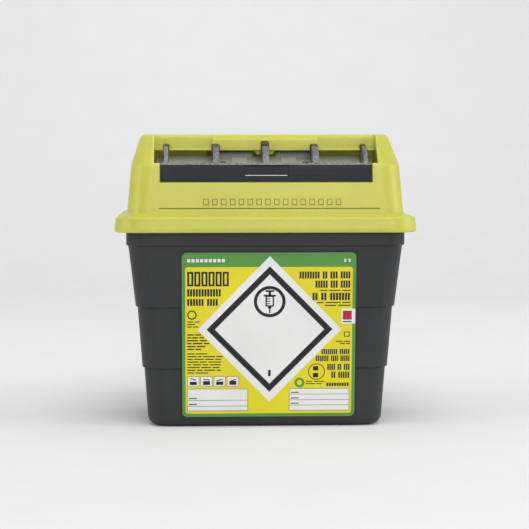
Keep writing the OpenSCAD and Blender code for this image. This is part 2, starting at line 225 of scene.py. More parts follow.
pad_heights = [pad_low_z - pad_edge, pad_low_z, pad_high_z, pad_high_z + pad_edge]
pad_levels = [(z, tub_inset(z), tub_corner) for z in pad_heights]
outside = []
for z, inset, r in tub_outline():
    while len(outside) > 4 and pad_levels and pad_levels[0][0] < z:
        outside.append(pad_levels.pop(0))
    outside.append((z, inset, r))
body_rings = []
for z, inset, r in outside:
    points = tub_ring(z, inset, r)
    on_pad = pad_low_z - 0.01 <= z <= pad_high_z + 0.01
    body_rings.append(with_pad(points) if on_pad else points)
tub = skin("tub", body_rings + [tub_ring(*level) for level in tub_hollow_outline()])
smooth(tub)


def add_socket(group, name, kind, side, value=None):
    socket = group.interface.new_socket(name=name, in_out=side, socket_type="NodeSocket" + kind)
    if value is not None:
        socket.default_value = value


def add_node(nodes, kind, values=(), group=None):
    """A shader node with the values of its sockets; a group node also needs its group."""
    node = nodes.new("ShaderNode" + kind)
    if group:
        node.node_tree = group
    for socket, value in dict(values).items():
        node.inputs[socket].default_value = value
    return node


def add_mix(nodes, **colours):
    """A node that mixes two colours, A and B."""
    node = nodes.new("ShaderNodeMix")
    node.data_type = "RGBA"
    for socket, colour in colours.items():
        node.inputs[socket].default_value = (*colour, 1)
    return node


def wire(one, output, other, socket):
    """Links an output of one node to a socket of another."""
    one.id_data.links.new(one.outputs[output], other.inputs[socket])


def moulded_surface():
    """Moulded plastic: a fine grain, soft clouds of colour and faint rubbed streaks."""
    group = bpy.data.node_groups.new("moulded surface", "ShaderNodeTree")
    for name, value in (("Grain size", 900.0), ("Grain height", 0.3), ("Streak", 0.5)):
        add_socket(group, name, "Float", "INPUT", value)
    for name in ("Cloud", "Rub", "Speck"):
        add_socket(group, name, "Float", "OUTPUT")
    add_socket(group, "Normal", "Vector", "OUTPUT")
    nodes = group.nodes
    given = nodes.new("NodeGroupInput")
    result = nodes.new("NodeGroupOutput")
    place = add_node(nodes, "TexCoord")

    cloud = add_node(nodes, "TexNoise", {"Scale": 14, "Detail": 5})
    wire(place, "Object", cloud, "Vector")
    wire(cloud, "Fac", result, "Cloud")

    stretch = add_node(nodes, "Mapping", {"Scale": (240, 240, 9)})
    wire(place, "Object", stretch, "Vector")
    streak = add_node(nodes, "TexNoise", {"Scale": 1.0, "Detail": 3})
    wire(stretch, "Vector", streak, "Vector")
    sharpen = add_node(nodes, "MapRange", {"From Min": 0.55, "From Max": 0.8})
    wire(streak, "Fac", sharpen, "Value")
    rub = add_node(nodes, "Math")
    rub.operation = "MULTIPLY"
    wire(sharpen, "Result", rub, 0)
    wire(given, "Streak", rub, 1)
    wire(rub, "Value", result, "Rub")

    grain = add_node(nodes, "TexNoise", {"Detail": 2})
    wire(place, "Object", grain, "Vector")
    wire(given, "Grain size", grain, "Scale")
    wire(grain, "Fac", result, "Speck")
    bump = add_node(nodes, "Bump", {"Distance": 0.0002})
    wire(given, "Grain height", bump, "Strength")
    wire(grain, "Fac", bump, "Height")
    wire(bump, "Normal", result, "Normal")
    return group


surface = moulded_surface()


def plastic(name, dark, light, rough, grain_size, grain_height, streak, speck=0.0, gloss=0.5):
    """A moulded plastic between two colours, with its own grain, specks and roughness."""
    material = bpy.data.materials.new(name)
    material.use_nodes = True
    nodes = material.node_tree.nodes
    shader = nodes["Principled BSDF"]
    shader.inputs["Specular IOR Level"].default_value = gloss
    grains = {"Grain size": grain_size, "Grain height": grain_height, "Streak": streak}
    detail = add_node(nodes, "Group", grains, surface)
    mottle = add_node(nodes, "Math", {1: speck})
    mottle.operation = "MULTIPLY_ADD"
    wire(detail, "Speck", mottle, 0)
    wire(detail, "Cloud", mottle, 2)
    tone = add_node(nodes, "MapRange", {"From Min": 0.3 + speck / 2, "From Max": 0.7 + speck / 2})
    wire(mottle, "Value", tone, "Value")
    colour = add_mix(nodes, A=dark, B=light)
    wire(tone, "Result", colour, "Factor")
    rubbed = add_mix(nodes, B=[min(1, c * 1.25 + 0.01) for c in light])
    wire(detail, "Rub", rubbed, "Factor")
    wire(colour, "Result", rubbed, "A")
    wire(rubbed, "Result", shader, "Base Color")
    shine = add_node(nodes, "MapRange", {"To Min": rough - 0.05, "To Max": rough + 0.07})
    wire(detail, "Cloud", shine, "Value")
    wire(shine, "Result", shader, "Roughness")
    wire(detail, "Normal", shader, "Normal")
    return material


tub.data.materials.append(plastic(
    "tub plastic", (0.023, 0.024, 0.025), (0.030, 0.031, 0.032),
    rough=0.45, grain_size=1400, grain_height=0.25, streak=0.10, gloss=0.28))
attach(tub, "container")
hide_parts("base_tub")

# --------------------------------------------------------------------------------------
# Lid. One thin-walled injection moulding in yellow polypropylene: a skirt over the tub's
# rim, a rounded ledge, a dome with a sloping front, a wide slot with its walls, five notches
# for the ribs, a pocket with a bar for carrying, and beads that hold it under the rim.

lid_low, lid_high = corners("lid")
tray_half = corners("closure_tray")[1].x
bar_half = corners("grip_bar")[1].x
hinge = Vector(frame["joints"][0]["pos_m"]) / mm
lid_w = lid_high.x - lid_low.x
lid_d = lid_high.y - lid_low.y
lid_wall = 2.2
skirt_z = lid_low.z
top_z = lid_high.z
ledge_w = 12
ledge_z = tub_h + 4.4
crease_z = ledge_z + 48
dome_draft = 4.2
slope_side = 9.3
slope_front = 27.3
slope_back = 6
dome_corner = 20
skirt_corner = dome_corner + ledge_w / 2
top_edge = 4
top_round = 3.2

# Heights, how far each ring stands in, and what it adds to the corner's radius.
skirt_profile = [
    (skirt_z, 1.3, -1.6), (skirt_z + 0.4, 0.6, -0.6), (skirt_z + 1.6, 0.1, 0), (skirt_z + 5, 0, 0),
    (tub_h - 1.6, 0.9, -0.5), (tub_h + 0.1, 1.15, -0.7), (tub_h + 1.4, 1.9, -1),
    (tub_h + 2.2, 3.1, -1.6), (tub_h + 2.7, 4.6, -2.2)]
ledge_profile = [
    (ledge_z - 0.6, ledge_w - 4, 2.5), (ledge_z - 0.1, ledge_w - 1.9, 1), (ledge_z + 0.5, ledge_w - 0.7, 0),
    (ledge_z + 1.3, ledge_w - 0.1, 0), (ledge_z + 2.4, ledge_w + 0.25, 0)]


def dome_in(z):
    """How far the dome's upright walls stand in from the skirt at a height."""
    return ledge_w + dome_draft * (z - ledge_z) / (crease_z - ledge_z)


def lid_ring(z, side, front, back, r):
    return ring(z, lid_w - 2 * side, lid_d - front - back, r, shift=(front - back) / 2)


def even_ring(z, inset, r):
    return lid_ring(z, inset, inset, inset, r)


def slope_ring(z, inset, r):
    """A ring of the dome above its crease, where the front leans back."""
    t = max(0.0, (z - crease_z) / (top_z - crease_z))
    base = dome_in(crease_z) + inset
    return lid_ring(z, base + slope_side * t, base + slope_front * t, base + slope_back * t, r)


def lid_outside(inset):
    """Rings of the lid's outside from the skirt up, all standing in by inset."""
    rings = []
    for z, side, more in skirt_profile:
        rings.append(even_ring(z - (inset if z > tub_h else 0), side + inset, skirt_corner + more))
    for z, side, more in ledge_profile:
        rings.append(even_ring(z - inset, side + inset, dome_corner + more))
    for z, more in ((crease_z - 2.6, 0.0), (crease_z - 1.2, 0.08)):
        rings.append(even_ring(z, dome_in(z) + inset + more, dome_corner))
    for up, more in ((0, 0.35), (1.3, 0.1), (3, 0)):
        rings.append(slope_ring(crease_z + up, inset + more, dome_corner))
    for i, a in enumerate(quarter(5)):
        z = top_z - top_edge * (1 - math.sin(a)) - inset
        rings.append(slope_ring(z, inset + top_round * (1 - math.cos(a)), dome_corner - 3 - 3 * i / 5))
    return rings


def lid_inside():
    """Rings of the lid's inside, from the top down to the skirt's edge."""
    r = dome_corner - lid_wall
    skirt_r = skirt_corner - lid_wall
    rings = [slope_ring(top_z - lid_wall - down, lid_wall + more, r - less)
             for down, more, less in ((0, 2.6, 5), (0.8, 0.9, 4), (2.4, 0, 3))]
    return rings + [slope_ring(crease_z, lid_wall, r), even_ring(tub_h, ledge_w + lid_wall, r),
                    even_ring(tub_h, lid_wall, skirt_r), even_ring(skirt_z, lid_wall - 0.3, skirt_r)]


def prism(name, outline, start, end, along="X"):
    """A closed prism: an outline in the two other axes, drawn along one axis between two places."""
    mesh = bmesh.new()
    sides = []
    for place in (start, end):
        if along == "X":
            points = [(place, a, b) for a, b in outline]
        else:
            points = [(a, place, b) for a, b in outline]
        sides.append([mesh.verts.new(p) for p in points])
    count = len(outline)
    for i in range(count):
        j = (i + 1) % count
        mesh.faces.new((sides[0][i], sides[0][j], sides[1][j], sides[1][i]))
    mesh.faces.new(sides[0][::-1])
    mesh.faces.new(sides[1])
    return finish_mesh(name, mesh)


def box(x0, x1, y0, y1, z0, z1):
    return prism("box", [(y0, z0), (y1, z0), (y1, z1), (y0, z1)], x0, x1)


def joined(tools):
    """Several objects as one mesh, their solids left as they are."""
    mesh = bmesh.new()
    for tool in tools:
        mesh.from_mesh(tool.data)
        data = tool.data
        bpy.data.objects.remove(tool)
        bpy.data.meshes.remove(data)
    data = bpy.data.meshes.new("tools")
    mesh.to_mesh(data)
    mesh.free()
    tool = bpy.data.objects.new("tools", data)
    bpy.context.scene.collection.objects.link(tool)
    return tool


def boolean(piece, tools, operation="DIFFERENCE", overlapping=False):
    """Adds to, cuts from or trims a piece with the tools, and removes them."""
    tool = joined(tools)
    step = piece.modifiers.new("step", "BOOLEAN")
    step.operation = operation
    step.solver = "EXACT"
    step.use_self = overlapping or len(tools) > 1
    step.object = tool
    view = bpy.context.evaluated_depsgraph_get()
    made = bpy.data.meshes.new_from_object(piece.evaluated_get(view))
    piece.modifiers.clear()
    old, used = piece.data, tool.data
    piece.data = made
    bpy.data.objects.remove(tool)
    bpy.data.meshes.remove(old)
    bpy.data.meshes.remove(used)


def soften(piece, width):
    """Cleans up after the cuts, then rounds the crisp edges and shades the piece."""
    mesh = bmesh.new()
    mesh.from_mesh(piece.data)
    bmesh.ops.remove_doubles(mesh, verts=mesh.verts, dist=0.02 * mm)
    bmesh.ops.dissolve_degenerate(mesh, edges=mesh.edges, dist=0.02 * mm)
    bmesh.ops.recalc_face_normals(mesh, faces=mesh.faces)
    mesh.to_mesh(piece.data)
    mesh.free()
    edges = piece.modifiers.new("soft edges", "BEVEL")
    edges.width = width * mm
    edges.segments = 2
    edges.limit_method = "ANGLE"
    edges.angle_limit = math.radians(30)
    edges.miter_outer = "MITER_ARC"
    edges.use_clamp_overlap = True
    smooth(piece, 40)


def polar(r, degrees):
    """A place about the hinge, in y and z: 0 is at the back, 90 above, 180 in front."""
    a = math.radians(degrees)
    return Vector((hinge.y + r * math.cos(a), hinge.z + r * math.sin(a)))


def around(r, start, end, steps=24):
    """Points on an arc about the hinge."""
    return [tuple(polar(r, start + (end - start) * i / steps)) for i in range(steps + 1)]


def circle(centre, r, count=32):
    """Points round a circle, in y and z."""
    turns = [math.tau * i / count for i in range(count)]
    return [(centre.x + r * math.cos(a), centre.y + r * math.sin(a)) for a in turns]


# The slot in the leaning front, the pocket under it for the bar, and their walls.
end_gap = 2
slot_half = tray_half + end_gap
closure_r = 34
floor_r = 31
floor_in_r = 29
pass_gap = 0.5
rib_pitch = 48.8
rib_widths = [4, 6, 6, 6, 4]
notch_gap = 1
notch_corner = 1
block_y = hinge.y + pass_gap
wall_y = block_y + 5.3
wall_z = hinge.z + 28.5
block_half = rib_pitch + 3.2
wall_round = 4.5
block_bevel = 5
slot_z = crease_z + 2
pocket_z = hinge.z - 2.8
pocket_half = bar_half + 0.8
pocket_back = 14
cheek_front = 50
cheek_back = 16
cheek_down = 14
tooth_half = 10.5
tooth_h = 4
tooth_lean = 2.6
grip_w = 110
grip_d = 64
grip_deep = 26
grip_corner = 12
grip_mid = lid_d / 2 - ledge_w - dome_draft - slope_back - grip_d / 2 - 20
bar_angle = 180 - math.degrees(math.asin(14.4 / closure_r))
floor_angle = 180 + math.degrees(math.asin(5 / floor_r))
front = -lid_d
above = top_z + 5

lid = skin("lid", lid_inside() + lid_outside(0))
boolean(lid, [
    box(-slot_half, -block_half, front, wall_y, slot_z, top_z + 20),
    box(block_half, slot_half, front, wall_y, slot_z, top_z + 20),
    box(-block_half, block_half, front, block_y, slot_z, top_z + 20),
    box(-pocket_half, pocket_half, front, hinge.y - pocket_back, pocket_z, slot_z + 0.01)])
cheek = (hinge.y - cheek_front, hinge.y + cheek_back, hinge.z - cheek_down, above)
across = (-slot_half - 1, slot_half + 1)
grip_walls = [ring(z, grip_w + 2 * lid_wall, grip_d + 2 * lid_wall, grip_corner + lid_wall, grip_mid)
              for z in (top_z - grip_deep - lid_wall, top_z - 0.8)]
walls = joined([
    box(-slot_half - lid_wall, -slot_half, *cheek),
    box(slot_half, slot_half + lid_wall, *cheek),
    box(*across, hinge.y - cheek_front, hinge.y - floor_in_r - 0.5, pocket_z - lid_wall, pocket_z),
    box(*across, wall_y, wall_y + lid_wall, wall_z, above),
    box(*across, block_y, wall_y + 1, wall_z, wall_z + 2),
    box(-block_half, block_half, block_y, wall_y + 1, wall_z, above),
    skin("grip walls", grip_walls)])
boolean(walls, [skin("inner dome", lid_outside(0.4))], "INTERSECT", overlapping=True)
pocket_floor = around(floor_r, bar_angle + 3.1, floor_angle)
pocket_floor += around(floor_in_r, floor_angle + 0.6, bar_angle + 3.1)
tooth = [(-tooth_half, wall_z + 1), (-tooth_half, wall_z), (tooth_lean - tooth_half, wall_z - tooth_h),
         (tooth_half - tooth_lean, wall_z - tooth_h), (tooth_half, wall_z), (tooth_half, wall_z + 1)]
boolean(lid, [walls, prism("pocket floor", pocket_floor, -slot_half - 0.5, slot_half + 0.5),
              prism("tooth", tooth, wall_y, wall_y + lid_wall, along="Y")], "UNION")

# A notch for each rib; the middle one is higher, to let the catch through.
cuts = []
for k, width in zip(range(-2, 3), rib_widths):
    half = width / 2 + notch_gap
    high = hinge.z + closure_r + 0.6 + (3 if k == 0 else 0)
    low = wall_z - tooth_h - 1
    x = k * rib_pitch
    outline = [(x - half, low), (x + half, low), (x + half, high - notch_corner),
               (x + half - notch_corner, high), (x - half + notch_corner, high),
               (x - half, high - notch_corner)]
    cuts.append(prism("notch", outline, block_y - 1, wall_y + lid_wall + 1, along="Y"))
boolean(lid, cuts)

# The hand pocket in the top, with the bar that the lid is carried by.
grip_bar_w = 18
grip_bar_t = 12
grip_profile = [
    (top_z - grip_deep, 3), (top_z - grip_deep + 0.9, 0.9), (top_z - grip_deep + 3, 0), (top_z - 2.4, 0),
    (top_z - 1.5, -0.25), (top_z - 0.7, -0.8), (top_z + 0.02, -1.9), (top_z + 1, -1.9)]
grip_cut = skin("grip cut", [ring(z, grip_w - 2 * i, grip_d - 2 * i, grip_corner - i, grip_mid)
                             for z, i in grip_profile])
bar_outline = []
for sy, sz, first in ((1, 1, 0), (-1, 1, 90), (-1, -1, 180), (1, -1, 270)):
    r = 1.2 if sz > 0 else 3
    z = top_z + 0.8 - r if sz > 0 else top_z - grip_bar_t + r
    for a in quarter(6, first):
        bar_outline.append((grip_mid + sy * (grip_bar_w / 2 - r) + r * math.cos(a), z + r * math.sin(a)))
boolean(grip_cut, [prism("carrying bar", bar_outline, -grip_w, grip_w)])
boolean(lid, [grip_cut])

# The rear wall's rounded top edge and the middle block's bevel.
rear_top = [(wall_y + wall_round * (1 - math.cos(a)), top_z - wall_round * (1 - math.sin(a)))
            for a in quarter(6)]
rear_top += [(wall_y + wall_round, top_z + 1), (wall_y - 3, top_z + 1), (wall_y - 3, top_z - wall_round)]
block_top = [(block_y - 1, top_z - block_bevel - 1), (block_y + block_bevel + 1, top_z + 1),
             (block_y - 1, top_z + 1)]
boolean(lid, [
    prism("rear top", rear_top, -slot_half, -block_half),
    prism("rear top", rear_top, block_half, slot_half),
    prism("block top", block_top, -block_half - 0.01, block_half + 0.01)])

# A bore for a pin in each cheek, and four beads that sit under the tub's rim.
pin_r = 4
pin_clear = 0.06
bore = circle(polar(0, 0), pin_r + pin_clear)
boolean(lid, [prism("bore", bore, side * slot_half - 5, side * slot_half + 5) for side in (-1, 1)])
bead_z = tub_h - rim_t - 0.3
bead_half = 30
bead_profile = [(0, -3), (-1.6, -2.6), (-3.1, -0.6), (-3.1, 0), (0, 0)]
beads = []
for side in (-1, 1):
    for edge, along in ((lid_d / 2 - 0.7, "X"), (lid_w / 2 - 0.7, "Y")):
        outline = [(side * (edge + out), bead_z + up) for out, up in bead_profile]
        beads.append(prism("bead", outline, -bead_half, bead_half, along=along))
boolean(lid, beads, "UNION")
soften(lid, 0.5)

# A thin line engraved across the front, with a row of outlined boxes above it.
line_z = 217
line_half_t = 0.6
line_left, line_right = -104.4, 110.8
mark_low, mark_high = 220.2, 226.6
mark_left = -61.5
mark_pitch = 8.6
mark_w = 5.4
mark_gap = 0.2
stroke = 0.9
engraved_deep = 0.8


def engraved(x0, x1, z0, z1, z):
    """A shallow cut into the dome's front, as deep all over as it is at height z."""
    bottom = dome_in(z) - lid_d / 2 + engraved_deep
    return box(x0, x1, bottom - 4, bottom, z0, z1)


cuts = [engraved(line_left, line_right, line_z - line_half_t, line_z + line_half_t, line_z)]
for n in range(16):
    x0 = mark_left + mark_pitch * n
    x1 = x0 + mark_w
    inner_low = mark_low + stroke + mark_gap
    inner_high = mark_high - stroke - mark_gap
    for edges in ((x0, x1, mark_low, mark_low + stroke), (x0, x1, mark_high - stroke, mark_high),
                  (x0, x0 + stroke, inner_low, inner_high), (x1 - stroke, x1, inner_low, inner_high)):
        cuts.append(engraved(*edges, mark_low))
boolean(lid, cuts)
smooth(lid, 40)

lid_plastic = plastic("lid plastic", (0.490, 0.476, 0.062), (0.530, 0.516, 0.074),
                      rough=0.36, grain_size=1100, grain_height=0.18, streak=0.06, gloss=0.42)
# Painted shade: a darker yellow for the faces inside the engraved marks.
groove_painted_shade = plastic("groove", (0.27, 0.26, 0.03), (0.33, 0.32, 0.04),
                         rough=0.6, grain_size=1100, grain_height=0.1, streak=0.0, gloss=0.1)
# Painted shade: a darker, greyer yellow for the inside of the back wall, seen through the slot.
inside_painted_shade = plastic("lid inside painted shade", (0.34, 0.34, 0.19), (0.38, 0.38, 0.22),
                         rough=0.5, grain_size=1100, grain_height=0.1, streak=0.0, gloss=0.1)
for yellow, radius in ((lid_plastic, (1.0, 0.9, 0.2)), (inside_painted_shade, (1.0, 1.0, 0.6))):
    shader = yellow.node_tree.nodes["Principled BSDF"]
    shader.inputs["Subsurface Weight"].default_value = 0.7
    shader.inputs["Subsurface Radius"].default_value = radius
    shader.inputs["Subsurface Scale"].default_value = 0.009
for material in (lid_plastic, groove_painted_shade, inside_painted_shade):
    lid.data.materials.append(material)
for polygon in lid.data.polygons:
    centre = polygon.center / mm
    depth = centre.y - (dome_in(centre.z) - lid_d / 2)
    in_marks = line_z - 1 < centre.z < mark_high + 0.1 and line_left - 1 < centre.x < line_right + 1
    # Faces inside the engraved marks take the painted shade.
    if in_marks and centre.y < 0 and 0.15 < depth < engraved_deep + 0.4:
        polygon.material_index = 1
    # The inside of the back wall, behind the slot, takes that painted shade.
    elif centre.y > wall_y + 1 and tub_h < centre.z < wall_z + 0.5 and polygon.normal.y < -0.3:
        polygon.material_index = 2
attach(lid, "container")
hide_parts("lid")

# --------------------------------------------------------------------------------------
# Closure tray. One moulding in light grey polypropylene with a speckled, spark-textured
# surface: a curved front shell, a tray that slopes to the back, a raised rim, five ribs that
# run in the lid's notches, a catch on the middle one, and a boss for each pin.

shell_r = 28.5
shell_in_r = 26.5
shell_end = 216
rib_in = 0.5
web_angle = bar_angle - 3.9
tray_t = 2
rim_angle = 49
rim_r = 30.5
rim_rise = 5.5
catch_r = 2.2
catch_angle = 93
catch_half = 3
boss_r = 8
pin_in = 2 * rib_pitch + 2.4
tooth_gap = 12
tongue_w = 6
tongue_x = rib_pitch - rib_widths[1] / 2 - tongue_w / 2 - 1
panel_near, panel_far = 17.1, 32
panel_rise = 0.5
small_slot_near, small_slot_far = 38.4, 44.6

tray_front = polar(shell_r - rib_in, shell_end - 1)
tray_rim = polar(rim_r, rim_angle)
tray_length = (tray_rim - tray_front).length
run = (tray_rim - tray_front).normalized()
tray_up = Vector((-run.y, run.x))
rise = (tray_rim - polar(0, 0)).dot(tray_up)
rib_rear = tray_rim + tray_up * (math.sqrt(rise * rise + closure_r ** 2 - rim_r ** 2) - rise)
rib_rear_angle = math.degrees(math.atan2(rib_rear.y - hinge.z, rib_rear.x - hinge.y))
rib_outline = [tuple(tray_rim)] + around(closure_r, rib_rear_angle, bar_angle)
rib_outline += around(shell_r - rib_in, bar_angle, shell_end - 1)


def slab(x0, x1, start, end, low, high):
    """A plate on the tray: between two places along its run, and two heights above its floor."""
    a = tray_front + run * start
    b = tray_front + run * end
    outline = [a + tray_up * low, b + tray_up * low, b + tray_up * high, a + tray_up * high]
    return prism("slab", [tuple(point) for point in outline], x0, x1)


def across_side(side, near, far):
    """A stretch across the tray on one side of its middle, from low x to high x."""
    return sorted((side * near, side * far))


shell = around(shell_r, web_angle, shell_end) + around(shell_in_r, shell_end, web_angle)
web = around(closure_r, web_angle, bar_angle, 3) + around(shell_in_r + 0.5, bar_angle, web_angle, 3)
tray = prism("closure_tray", shell, -tray_half, tray_half)
parts = [slab(-tray_half, tray_half, 0, tray_length, -tray_t, 0), prism("web", web, -bar_half, bar_half)]
for k, width in zip(range(-2, 3), rib_widths):
    parts.append(prism("rib", rib_outline, k * rib_pitch - width / 2, k * rib_pitch + width / 2))
catch = circle(polar(closure_r + 0.8, catch_angle), catch_r, 18)
parts.append(prism("catch", catch, -catch_half, catch_half))
boss = circle(polar(0, 0), boss_r)
for side in (-1, 1):
    parts.append(box(*across_side(side, tooth_gap, rib_pitch - 0.5), tray_rim.x - tray_t, tray_rim.x,
                     tray_rim.y - tray_t, tray_rim.y + rim_rise))
    parts.append(prism("boss", boss, *across_side(side, 2 * rib_pitch, slot_half - pass_gap)))
    parts.append(slab(*across_side(side, panel_near, panel_far), 6, tray_length - 3, -1, panel_rise))
boolean(tray, parts, "UNION")
tongue_slot = around(closure_r - 0.4, web_angle - 1, bar_angle + 1, 4)
tongue_slot += around(closure_r - 2.2, bar_angle + 1, web_angle - 1, 4)
cuts = []
for side in (-1, 1):
    middle = side * tongue_x
    cuts.append(prism("tongue slot", tongue_slot, middle - tongue_w / 2 - 0.2, middle + tongue_w / 2 + 0.2))
    cuts.append(slab(*across_side(side, small_slot_near, small_slot_far),
                     tray_length - 10.4, tray_length - 8.6, -1.1, 2))
    cuts.append(prism("pin hole", circle(polar(0, 0), pin_r), *across_side(side, pin_in, slot_half + 1)))
boolean(tray, cuts)
soften(tray, 0.3)


def axis_fade():
    """A mask that rises along one axis of the piece, between two places in metres."""
    group = bpy.data.node_groups.new("axis fade", "ShaderNodeTree")
    add_socket(group, "Axis", "Vector", "INPUT", (0, 0, 1))
    add_socket(group, "Start", "Float", "INPUT", 0.0)
    add_socket(group, "End", "Float", "INPUT", 1.0)
    add_socket(group, "Share", "Float", "OUTPUT")
    nodes = group.nodes
    given = nodes.new("NodeGroupInput")
    result = nodes.new("NodeGroupOutput")
    place = add_node(nodes, "TexCoord")
    along = add_node(nodes, "VectorMath")
    along.operation = "DOT_PRODUCT"
    wire(place, "Object", along, 0)
    wire(given, "Axis", along, 1)
    share = add_node(nodes, "MapRange")
    wire(along, "Value", share, "Value")
    wire(given, "Start", share, "From Min")
    wire(given, "End", share, "From Max")
    wire(share, "Result", result, "Share")
    return group


axis_mask = axis_fade()


def fade(material, axis, start, end, colour):
    """Paints shade into a material: fades it into a darker colour along one axis, between two places in
    millimetres.
    """
    nodes = material.node_tree.nodes
    shader = nodes["Principled BSDF"]
    before = shader.inputs["Base Color"].links[0].from_socket
    mask = add_node(nodes, "Group", {"Axis": axis, "Start": start * mm, "End": end * mm}, axis_mask)
    mixed = add_mix(nodes, B=colour)
    wire(mask, "Share", mixed, "Factor")
    wire(before.node, before.name, mixed, "A")
    wire(mixed, "Result", shader, "Base Color")


tray_plastic = plastic("tray plastic", (0.055, 0.056, 0.056), (0.19, 0.192, 0.186),
                       rough=0.4, grain_size=700, grain_height=0.4, streak=0.3, speck=2.6)
# Painted light: a much lighter copy of the tray's plastic for the faces of its floor, standing in for light
# on them.
floor_painted_light = plastic("tray floor painted light", (0.76, 0.765, 0.69), (0.90, 0.90, 0.83),
                        rough=0.24, grain_size=900, grain_height=0.3, streak=0.2, speck=1.2, gloss=0.8)
# Painted highlight: near-white for the two raised panels on the floor, standing in for their glossy
# reflection.
panel_painted_highlight = plastic("tray panel painted highlight", (0.92, 0.92, 0.91), (0.97, 0.97, 0.96),
                        rough=0.3, grain_size=900, grain_height=0.2, streak=0.1, speck=0.6, gloss=0.7)
# Painted shade: an olive grey for the raised rim at the back of the tray.
rim_painted_shade = plastic("tray rim painted shade", (0.36, 0.36, 0.27), (0.46, 0.46, 0.36),
                      rough=0.45, grain_size=900, grain_height=0.3, streak=0.1, speck=1.2)
rib_top = hinge.z + closure_r
# Painted shade: the tray's plastic turns near black at the tops of the ribs and the catch, where they run
# into the notches.
fade(tray_plastic, (0, 0, 1), rib_top - 2.4, rib_top - 1.2, (0.03, 0.03, 0.028))
# Painted shade, tinted olive: the floor darkens towards its back edge, under the lid's back wall.
fade(floor_painted_light, (0, 1, 0), tray_rim.x - 6, tray_rim.x - 0.5, (0.42, 0.41, 0.28))
# Painted shade: the rim turns dark towards its top, under the lid's back wall.
fade(rim_painted_shade, (0, 0, 1), tray_rim.y + 0.5, tray_rim.y + rim_rise - 1, (0.03, 0.03, 0.02))
for material in (tray_plastic, floor_painted_light, panel_painted_highlight, rim_painted_shade):
    tray.data.materials.append(material)
for polygon in tray.data.polygons:
    upward = polygon.normal.y * tray_up.x + polygon.normal.z * tray_up.y
    above_floor = (Vector((polygon.center.y / mm, polygon.center.z / mm)) - tray_front).dot(tray_up)
    across_x = abs(polygon.center.x) / mm
    behind = polygon.center.y / mm > tray_rim.x - tray_t - 0.8
    on_panel = panel_near - 0.1 < across_x < panel_far + 0.1 and above_floor > panel_rise - 0.2
    # Faces that look up along the tray take the floor's painted light, and on the raised panels the painted
    # highlight.
    if upward > 0.95 and -1 < above_floor < 1.5:
        polygon.material_index = 2 if on_panel else 1
    # Faces of the raised rim at the back take its painted shade.
    elif behind and above_floor > 0.3 and tooth_gap - 0.6 < across_x < rib_pitch - 2.6:
        polygon.material_index = 3
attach(tray, "closure")
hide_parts("closure_tray")

# --------------------------------------------------------------------------------------
# Grip bar. A curved strip in dark grey polypropylene that closes the pocket under the slot.
# The fingertips push in its shallow recess, and two tongues on its upper edge click into the
# tray's web.

bar_low_angle = 180 + math.degrees(math.asin(1.8 / closure_r))
bar_in_r = closure_r - 2.6
finger_half = 22
finger_deep = 1.2
recess_high = bar_angle + 1.5
recess_low = bar_low_angle - 10
lip_rise = 0.5
lip_half = finger_half - 1.5
strip = around(closure_r, bar_angle, bar_low_angle) + around(bar_in_r, bar_low_angle, bar_angle)
recess = around(closure_r - finger_deep, recess_high, recess_low)
recess += around(closure_r + 3, recess_low, recess_high)
lip = around(closure_r + lip_rise, recess_low - 0.6, recess_low + 0.6, 4)
lip += around(closure_r - 1.6, recess_low + 0.6, recess_low - 0.6, 4)
tongue = around(closure_r - 0.6, web_angle - 0.6, bar_angle + 1, 4)
tongue += around(closure_r - 2, bar_angle + 1, web_angle - 0.6, 4)
bar = prism("grip_bar", strip, -bar_half, bar_half)
boolean(bar, [prism("finger recess", recess, -finger_half, finger_half)])
parts = [prism("lip", lip, -lip_half, lip_half)]
for side in (-1, 1):
    parts.append(prism("tongue", tongue, side * tongue_x - tongue_w / 2, side * tongue_x + tongue_w / 2))
boolean(bar, parts, "UNION")
soften(bar, 0.35)
bar.data.materials.append(plastic(
    "bar plastic", (0.011, 0.012, 0.013), (0.019, 0.020, 0.022),
    rough=0.45, grain_size=1200, grain_height=0.3, streak=0.15, speck=0.5, gloss=0.18))
# Painted highlight: a light grey for the lip under the finger recess.
bar.data.materials.append(plastic(
    "lip painted highlight", (0.42, 0.42, 0.42), (0.55, 0.55, 0.55),
    rough=0.3, grain_size=1200, grain_height=0.2, streak=0.1))
# Faces of the lip, standing out past the bar, take the painted highlight.
for polygon in bar.data.polygons:
    out = math.hypot(polygon.center.y / mm - hinge.y, polygon.center.z / mm - hinge.z)
    if out > closure_r + 0.15:
        polygon.material_index = 1
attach(bar, "closure")
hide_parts("grip_bar")

# --------------------------------------------------------------------------------------
# Pivot pins. Two turned pins in light grey acetal, one through each cheek of the slot into
# the tray's boss, with a domed head that has a shallow dimple.

pin_head_r = 7
pin_head_t = 2
dimple_r = 2.6


def pin_profile(inner, outer, side):
    """Places along the pin and their radii, from its inner end to the dimple in its head."""
    head = outer - side * pin_head_t
    return [
        (inner, 0), (inner, pin_r - 0.5), (inner + side * 0.5, pin_r), (head, pin_r),
        (head, pin_head_r - 0.3), (head + side * 0.3, pin_head_r), (outer - side * 0.8, pin_head_r),
        (outer - side * 0.25, pin_head_r - 0.5), (outer, pin_head_r - 1.6), (outer, dimple_r),
        (outer - side * 0.5, dimple_r - 0.8), (outer - side * 0.6, 0)]


def turned_piece(name, profile, turns=40):
    """A piece turned about the hinge's line."""
    mesh = bmesh.new()
    rows = []
    for x, r in profile:
        points = circle(polar(0, 0), r, turns) if r else [tuple(polar(0, 0))]
        rows.append([mesh.verts.new((x, y, z)) for y, z in points])
    for one, two in zip(rows, rows[1:]):
        for i in range(turns):
            j = (i + 1) % turns
            corner_points = [one[i % len(one)], one[j % len(one)], two[j % len(two)], two[i % len(two)]]
            mesh.faces.new(list(dict.fromkeys(corner_points)))
    return finish_mesh(name, mesh)


